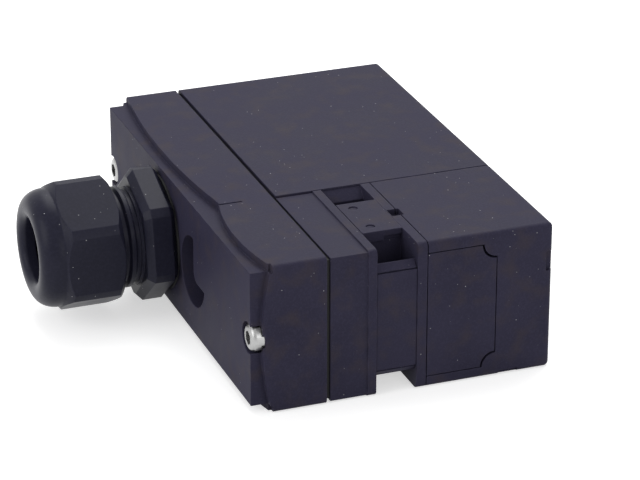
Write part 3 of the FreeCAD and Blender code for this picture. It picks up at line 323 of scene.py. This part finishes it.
def metal(name, colour, roughness, streak=(1.0, 1.0, 1.0), stain=None):
    """Metal with fine streaks; stain is a second colour in soft patches."""
    material = bpy.data.materials.new(name)
    tree, out = shader_tree(material)
    shader = put(tree, "ShaderNodeBsdfPrincipled", Metallic=1.0)
    tree.links.new(shader.outputs[0], out.inputs["Surface"])
    place = tree.nodes.new("ShaderNodeTexCoord")
    stretch = put(tree, "ShaderNodeMapping", Scale=streak)
    lines = put(tree, "ShaderNodeTexNoise", Scale=2600.0, Detail=3.0)
    tree.links.new(place.outputs["Object"], stretch.inputs["Vector"])
    tree.links.new(stretch.outputs[0], lines.inputs["Vector"])
    patches = noise(tree, 0.004, 3.0)
    second = stain or tuple(c * 0.82 for c in colour)
    tone = mixed(tree, spread(tree, patches, 0.0, 0.8), colour, second)
    tree.links.new(tone, shader.inputs["Base Color"])
    tree.links.new(spread(tree, lines.outputs["Fac"], roughness - 0.07, roughness + 0.12),
                   shader.inputs["Roughness"])
    bump = put(tree, "ShaderNodeBump", Strength=0.12, Distance=0.00002)
    soft = put(tree, "ShaderNodeBevel", samples=6, Radius=0.00015)
    tree.links.new(soft.outputs[0], bump.inputs["Normal"])
    tree.links.new(lines.outputs["Fac"], bump.inputs["Height"])
    tree.links.new(bump.outputs[0], shader.inputs["Normal"])
    return material


black_rubber = rubber("black_rubber", (0.016, 0.016, 0.017))
bright_zinc = metal("bright_zinc", (0.40, 0.40, 0.40), 0.3, streak=(0.15, 1.0, 1.0))
rotor_steel = metal("rotor_steel", (0.46, 0.46, 0.47), 0.3, streak=(1.0, 0.2, 1.0))
yellow_zinc = metal("yellow_zinc", (0.56, 0.50, 0.30), 0.32, stain=(0.42, 0.46, 0.34))
turned_brass = metal("turned_brass", (0.76, 0.55, 0.23), 0.26, streak=(1.0, 1.0, 0.2))
enamelled_copper = metal("enamelled_copper", (0.50, 0.17, 0.06), 0.28)
print("metals ready")

# %% [markdown]
# ## Circuit board lacquer
#
# A board is green where lacquer covers bare laminate, and a little lighter where it covers a
# copper track. Tracks are drawn here by a Brick texture with very long bricks: its mortar lines
# run straight and turn corners, which reads as tracks at this size, with no drawing to load.


# %% Circuit board lacquer
def board_lacquer():
    """Green lacquer over straight tracks."""
    material = bpy.data.materials.new("board_lacquer")
    tree, out = shader_tree(material)
    shader = put(tree, "ShaderNodeBsdfPrincipled", Roughness=0.3)
    tree.links.new(shader.outputs[0], out.inputs["Surface"])
    place = tree.nodes.new("ShaderNodeTexCoord")
    turn = put(tree, "ShaderNodeMapping", Rotation=(0.0, math.pi / 2, 0.0))
    tracks = put(tree, "ShaderNodeTexBrick", Scale=220.0)
    tracks.inputs["Color1"].default_value = (0.010, 0.085, 0.028, 1)
    tracks.inputs["Color2"].default_value = (0.012, 0.095, 0.032, 1)
    tracks.inputs["Mortar"].default_value = (0.03, 0.2, 0.06, 1)
    tracks.inputs["Mortar Size"].default_value = 0.035
    tracks.inputs["Brick Width"].default_value = 1.4
    tree.links.new(place.outputs["Object"], turn.inputs["Vector"])
    tree.links.new(turn.outputs[0], tracks.inputs["Vector"])
    tree.links.new(tracks.outputs["Color"], shader.inputs["Base Color"])
    bump = put(tree, "ShaderNodeBump", Strength=0.2, Distance=0.00005)
    tree.links.new(tracks.outputs["Fac"], bump.inputs["Height"])
    tree.links.new(bump.outputs[0], shader.inputs["Normal"])
    return material


green_lacquer = board_lacquer()

# %% [markdown]
# ## Finishes on the CAD sub-parts
#
# Each sub-part keeps its CAD shape and gets one finish. A table from finish to names is the
# shortest way to say it, and a final check makes sure that no sub-part is left without one.

# %% Give every sub-part its finish
FINISHES = [
    (housing_plastic, ["wiring_cover", "solenoid_housing", "head_housing", "bridge_top",
                       "bridge_bottom", "bridge_pins", "slot_apron", "head_cover", "side_panel"]),
    (gland_plastic, ["gland_body", "gland_nut"]),
    (black_rubber, ["cover_gasket", "gland_seal", "gland_gasket"]),
    (bright_zinc, ["cover_screws", "unit_dowels", "terminal_clamps", "terminal_screws"]),
    (rotor_steel, ["cam_disc_near", "cam_disc_far", "spindle_near", "spindle_far",
                   "timing_gear_near", "timing_gear_far", "lock_wheel", "armature",
                   "locking_bolt"]),
    (yellow_zinc, ["magnet_yoke"]),
    (turned_brass, ["mounting_inserts", "contact_bridge", "fixed_contacts"]),
    (inner_grey, ["contact_slider", "contact_block", "coil_bobbin"]),
    (terminal_green, ["terminal_block"]),
    (green_lacquer, ["circuit_board"]),
]
finished = set()
for material, names in FINISHES:
    for name in names:
        nodes[name].data.materials.clear()
        nodes[name].data.materials.append(material)
        finished.add(name)
print("without a finish:", sorted(set(nodes) - finished))

# %% [markdown]
# ## Surfaces from numbers
#
# The pieces that follow are grids: two parameters run over rows and columns, and arrays give
# the x, y and z of every point at once. One helper turns such a grid into a closed mesh. Rows
# may join end to start, as on a ring, and the first and last rows may be closed with a cap.


# %% Grid to mesh
def grid_faces(rows, columns, closed_rows, closed_columns):
    """Quads between neighbouring points of a rows x columns grid, as an array of indices."""
    row = np.arange(rows if closed_rows else rows - 1)
    column = np.arange(columns if closed_columns else columns - 1)
    a, b = np.meshgrid(row, column, indexing="ij")
    a, b = a.ravel(), b.ravel()
    next_a, next_b = (a + 1) % rows, (b + 1) % columns
    return np.stack([a * columns + b, next_a * columns + b, next_a * columns + next_b,
                     a * columns + next_b], axis=1)


def surface(name, points, closed_rows=False, closed_columns=True, caps=False):
    """A smooth mesh from a rows x columns x 3 grid of points in metres."""
    rows, columns = points.shape[:2]
    faces = [tuple(face) for face in
             grid_faces(rows, columns, closed_rows, closed_columns).tolist()]
    if caps:
        faces.append(tuple(range(columns - 1, -1, -1)))
        faces.append(tuple(range((rows - 1) * columns, rows * columns)))
    mesh = bpy.data.meshes.new(name)
    mesh.from_pydata(points.reshape(-1, 3).tolist(), [], faces)
    mesh.validate()
    mesh.shade_smooth()
    piece = bpy.data.objects.new(name, mesh)
    bpy.context.scene.collection.objects.link(piece)
    return outward(piece)


def outward(piece):
    """Turns all faces so that they point out of the closed mesh."""
    work = bmesh.new()
    work.from_mesh(piece.data)
    bmesh.ops.recalc_face_normals(work, faces=work.faces)
    work.to_mesh(piece.data)
    work.free()
    return piece


def dress(piece, material, body, slot_name, *stands_for):
    """Gives a piece its finish, its body and the sub-parts that it stands for."""
    piece.data.materials.append(material)
    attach(piece, body)
    if stands_for:
        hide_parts(*stands_for)
    print(piece.name, len(piece.data.polygons), "faces")
    return piece


def span_of(name):
    """Low corner, high corner and middle of a sub-part."""
    low, high = (np.array(corner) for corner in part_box(name))
    return low, high, (low + high) / 2


# %% [markdown]
# ## Cable gland and dome nut
#
# A nut like this is a turned shape that six flats cut into. Seen along the axis, a flat lies at
# a / cos(u) from the middle, with a half the size across flats and u the angle from the flat's
# own middle, so the radius everywhere is the smaller of the turned profile and that distance.
# The flats end in arcs where the falling profile drops below them. One row of the grid slides
# along the profile to lie exactly there, so the arc is a clean edge and not a row of steps.


# %% Cable gland and dome nut
gland_high, gland_mid = span_of("gland_body")[1:]
nut_low, nut_high = span_of("gland_nut")[:2]
face_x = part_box("gland_gasket")[1][0]
HALF_FLATS = 12.0 * MM
CORNER_LIMIT = 13.35 * MM
NUT_CORNER = math.radians(89)
FLANGE_CORNER = math.radians(80)
MOUTH, TIP_RADIUS, LIP = 6.3 * MM, 8.2 * MM, 1.4 * MM
DOME_START, DOME_RADIUS = 4.6 * MM, 11.8 * MM
FLATS_END = 5.9 * MM
STRIP = math.pi / 6 - math.acos(HALF_FLATS / CORNER_LIMIT)


def column_angles(corner, per_flat=20):
    """Directions round the axis: three across each corner's strip, the rest over the flats."""
    angles = []
    for number in range(6):
        here = corner + number * math.pi / 3
        angles += [here - STRIP, here - STRIP / 3, here + STRIP / 3]
        angles += np.linspace(here + STRIP, here + math.pi / 3 - STRIP, per_flat + 1)[:-1].tolist()
    return np.array(angles)


def flats_reach(angles, corner):
    """a / cos(u), with u the angle from the nearest flat's middle."""
    from_corner = (angles - corner + math.pi / 6) % (math.pi / 3) - math.pi / 6
    return HALF_FLATS / np.cos(math.pi / 6 - np.abs(from_corner))


def trimmed_end(profile, reach, flat_rows=6, free_rows=40):
    """Rows along a profile that starts straight and then falls away from the flats."""
    x, r = profile.T
    along = np.concatenate([[0.0], np.cumsum(np.hypot(np.diff(x), np.diff(r)))])
    leaves = np.maximum(np.interp(-reach, -r, along), along[1])
    share = np.concatenate([np.linspace(0, 1, flat_rows)[:, None] * leaves,
                            leaves + np.linspace(0, 1, free_rows)[1:, None] * (along[-1] - leaves)])
    return np.interp(share, along, x), np.minimum(np.interp(share, along, r), reach)


def plain_rows(profile, columns):
    """Rows of a plain turned stretch, the same in every direction."""
    x, r = np.array(profile).T * MM
    return np.repeat(x[:, None], columns, 1), np.repeat(r[:, None], columns, 1)


def about_gland(stretches, angles, start_x):
    """Joins stretches of rows and turns them about the gland's axis, outwards along -X."""
    depth = np.concatenate([x for x, r in stretches])
    radius = np.concatenate([r for x, r in stretches])
    return np.stack([start_x - depth, gland_mid[1] + radius * np.cos(angles),
                     gland_mid[2] + radius * np.sin(angles)], axis=-1)


def crisp(piece, degrees=18.0):
    """Smooth shading that breaks where two faces meet at more than an angle."""
    piece.data.set_sharp_from_angle(angle=math.radians(degrees))
    return piece


def superellipse(start, end, power, count=22):
    """Quarter of |x/a|^n + |r/b|^n = 1 from its flank (start) to its tip (end)."""
    turn = np.linspace(0, np.pi / 2, count)
    reach = np.sin(turn) ** (2 / power)
    fall = 1 - np.cos(turn) ** (2 / power)
    return np.stack([start[0] + (end[0] - start[0]) * reach,
                     start[1] + (end[1] - start[1]) * fall], axis=1)


def dome_nut():
    """Flats, rounded dome, rolled lip, and the inside that squeezes the fingers."""
    angles = column_angles(NUT_CORNER)
    reach = flats_reach(angles, NUT_CORNER)
    length = nut_high[0] - nut_low[0]
    middle = 5.0 * MM
    dome = superellipse((length - DOME_START, DOME_RADIUS), (length, TIP_RADIUS), 2.15)
    front = np.vstack([[(middle, CORNER_LIMIT), (length - FLATS_END, CORNER_LIMIT)], dome])
    rear = np.array([(middle, CORNER_LIMIT), (1.1 * MM, CORNER_LIMIT),
                     (0.0, CORNER_LIMIT - 1.3 * MM)])
    rear_x, rear_r = trimmed_end(rear, reach, free_rows=8)
    turn = np.linspace(0, np.pi / 2, 16)
    lip = np.stack([length - LIP * (1 - np.cos(turn)),
                    TIP_RADIUS - (TIP_RADIUS - MOUTH) * np.sin(turn)], axis=1)[1:]
    tip = length / MM
    inside = [(tip - 3.1, 6.3), (tip - 3.1, 7.1), (tip - 4.2, 8.45), (10.9, 8.45),
              (9.0, 10.35), (0.0, 10.35)]
    columns = len(angles)
    return about_gland([(rear_x[::-1], rear_r[::-1]),
                        tuple(part[1:] for part in trimmed_end(front, reach)),
                        plain_rows(lip / MM, columns), plain_rows(inside, columns)],
                       angles, nut_high[0])


def gland_collar():
    """Stub, hexagon flange with a bevel all round its front, grooved neck and fingers."""
    angles = column_angles(FLANGE_CORNER)
    columns = len(angles)
    outline = np.minimum(flats_reach(angles, FLANGE_CORNER), CORNER_LIMIT)
    stub = gland_high[0] - face_x
    flange = [(0.4, -1.2), (1.4, 0.0), (5.3, 0.0), (6.6, -1.4)]
    flange_x = np.array([[depth * MM] * columns for depth, cut in flange])
    flange_r = np.array([outline + cut * MM for depth, cut in flange])
    before = [(-stub / MM, 6.6), (-stub / MM, 9.1), (-stub / MM + 0.8, 9.95), (0.4, 9.95)]
    grooves = [(6.6, 9.9), (7.1, 9.9), (7.1, 9.3), (7.9, 9.3), (8.3, 10.1), (9.1, 10.1), (9.5, 9.3),
               (10.5, 9.3), (10.9, 10.1), (19.6, 10.1), (19.6, 8.2), (21.3, 8.2), (23.8, 7.3),
               (23.8, 6.6)]
    return about_gland([plain_rows(before, columns), (flange_x, flange_r),
                        plain_rows(grooves, columns)], angles, face_x)


nut = crisp(surface("dome_nut_shell", dome_nut(), closed_rows=True))
dress(nut, gland_plastic, "dome_nut", "gland_plastic", "gland_nut")
collar = crisp(surface("gland_collar", gland_collar(), closed_rows=True))
dress(collar, gland_plastic, "housing", "gland_plastic", "gland_body")

# %% [markdown]
# ## Armature spring
#
# A compression spring is a round wire on a helix whose last turns lie flat against their seats.
# The wire's centre is a helix with a rise that eases in and out, and its section is a circle in
# the plane square to the path. Two arrays, one along the wire and one round it, give the tube.


# %% Armature spring
def coil_spring(name, wire, turns=5.0, across=10, along=360):
    """Tube round a helix about Y.

    Centre line: angle t from 0 to 2 pi times the turns, height by a smooth step of t, so the
    ends lie flat. Section: wire/2 times (cos s) outwards and (sin s) along the binormal.
    """
    low, high, middle = span_of(name)
    radius = (high[0] - low[0]) / 2 - wire / 2
    t = np.linspace(0, 1, along)[:, None]
    s = np.linspace(0, 2 * np.pi, across, endpoint=False)[None, :]
    flat = 0.9 / turns
    middle_share = np.clip((t - flat) / (1 - 2 * flat), 0, 1)
    ease = middle_share * 0.9 + 0.05 * np.clip(t / flat, 0, 1) \
        + 0.05 * np.clip((t - 1 + flat) / flat, 0, 1)
    height = low[1] + wire / 2 + ease * (high[1] - low[1] - wire)
    angle = 2 * np.pi * turns * t
    out = radius + wire / 2 * np.cos(s)
    lift = wire / 2 * np.sin(s)
    return np.stack([middle[0] + out * np.cos(angle),
                     height + lift + 0 * angle,
                     middle[2] + out * np.sin(angle)], axis=-1)


spring = surface("spring_coil", coil_spring("armature_spring", 0.6 * MM), caps=True)
dress(spring, bright_zinc, "housing", "plated_steel", "armature_spring")
spring_low, spring_high, spring_mid = span_of("armature_spring")
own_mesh(spring)

# %% [markdown]
# ## Coil winding
#
# A solenoid's wire lies in level turns, so the outside of the winding is a row of half-round
# ridges, one per turn. Turning a scalloped profile about the coil's axis gives hundreds of
# turns for a few thousand faces, and nobody can tell it from a wound wire.


# %% Coil winding
def wound_wire(name, wire=0.5 * MM, per_wire=6, around=96):
    """Ring about Y whose outer profile is a row of half circles.

    Radius along the coil: R - wire/2 + sqrt((wire/2)^2 - u^2) with u the distance from the
    nearest turn's middle. The inner wall is a plain cylinder.
    """
    low, high, middle = span_of(name)
    outer = (high[0] - low[0]) / 2
    inner = 5.8 * MM
    turns = int((high[1] - low[1]) / wire)
    step = (high[1] - low[1]) / turns
    y = np.linspace(low[1], high[1], turns * per_wire + 1)
    u = ((y - low[1]) / step) % 1.0 - 0.5
    ridge = outer - step / 2 + np.sqrt(np.clip(0.25 - u * u, 0, None)) * step
    y = np.concatenate([y, [high[1], low[1]]])
    ridge = np.concatenate([ridge, [inner, inner]])
    turn = np.linspace(0, 2 * np.pi, around, endpoint=False)[None, :]
    return np.stack([middle[0] + ridge[:, None] * np.cos(turn),
                     y[:, None] + 0 * turn,
                     middle[2] + ridge[:, None] * np.sin(turn)], axis=-1)


winding = surface("wound_wire", wound_wire("coil_winding"), closed_rows=True)
dress(winding, enamelled_copper, "housing", "copper_wire", "coil_winding")

# %% [markdown]
# ## Parts on the circuit board
#
# The board behind the terminals carries a few chips and round capacitors. A chip is a rounded
# block: the superellipse |x|^n + |y|^n + |z|^n = 1 with a high power n has flat faces and soft
# corners from one formula. A capacitor is a can with a rolled edge, which is a turned profile.


# %% Parts on the board
def rounded_block(middle, half, power=8.0, around=28, rows=15):
    """Superellipsoid: cos and sin of two angles, each raised to 2/n with its sign kept."""
    def soft(value):
        return np.sign(value) * np.abs(value) ** (2 / power)

    lift = np.linspace(-np.pi / 2 + 0.02, np.pi / 2 - 0.02, rows)[:, None]
    turn = np.linspace(0, 2 * np.pi, around, endpoint=False)[None, :]
    return np.stack([middle[0] + half[0] * soft(np.sin(lift)) + 0 * turn,
                     middle[1] + half[1] * soft(np.cos(lift)) * soft(np.cos(turn)),
                     middle[2] + half[2] * soft(np.cos(lift)) * soft(np.sin(turn))], axis=-1)


def can(base, radius, height, around=32):
    """Turned about X: foot, groove near the foot, rolled shoulder and flat top."""
    x = np.array([0, 0, 0.12, 0.2, 0.28, 0.9, 0.97, 1.0, 1.0]) * height
    r = np.array([0.02, 0.97, 1.0, 0.93, 1.0, 1.0, 0.95, 0.85, 0.02]) * radius
    turn = np.linspace(0, 2 * np.pi, around, endpoint=False)[None, :]
    return np.stack([base[0] + x[:, None] + 0 * turn,
                     base[1] + r[:, None] * np.cos(turn),
                     base[2] + r[:, None] * np.sin(turn)], axis=-1)


board_high, board_mid = span_of("circuit_board")[1:]
board_face = board_high[0]
chip_spots = [(-18, 4, 2.6, 2.0), (-12, -5, 1.6, 2.4), (-4, 7, 2.2, 1.4), (6, -7, 2.8, 2.0),
              (14, 5, 1.8, 1.8), (19, -3, 1.4, 2.6)]
for number, (dy, dz, half_y, half_z) in enumerate(chip_spots, start=1):
    middle = (board_face + 0.55 * MM, board_mid[1] + dy * MM, board_mid[2] + dz * MM)
    chip = surface(f"board_chip_{number}",
                   rounded_block(middle, (0.55 * MM, half_y * MM, half_z * MM)), caps=True)
    dress(chip, gland_plastic, "housing", "gland_plastic")
for number, (dy, dz) in enumerate([(-21, -8), (0, -9), (21, 8)], start=1):
    base = (board_face, board_mid[1] + dy * MM, board_mid[2] + dz * MM)
    holder = surface(f"board_capacitor_{number}", can(base, 2.0 * MM, 2.4 * MM), caps=True)
    dress(holder, bright_zinc, "housing", "plated_steel")
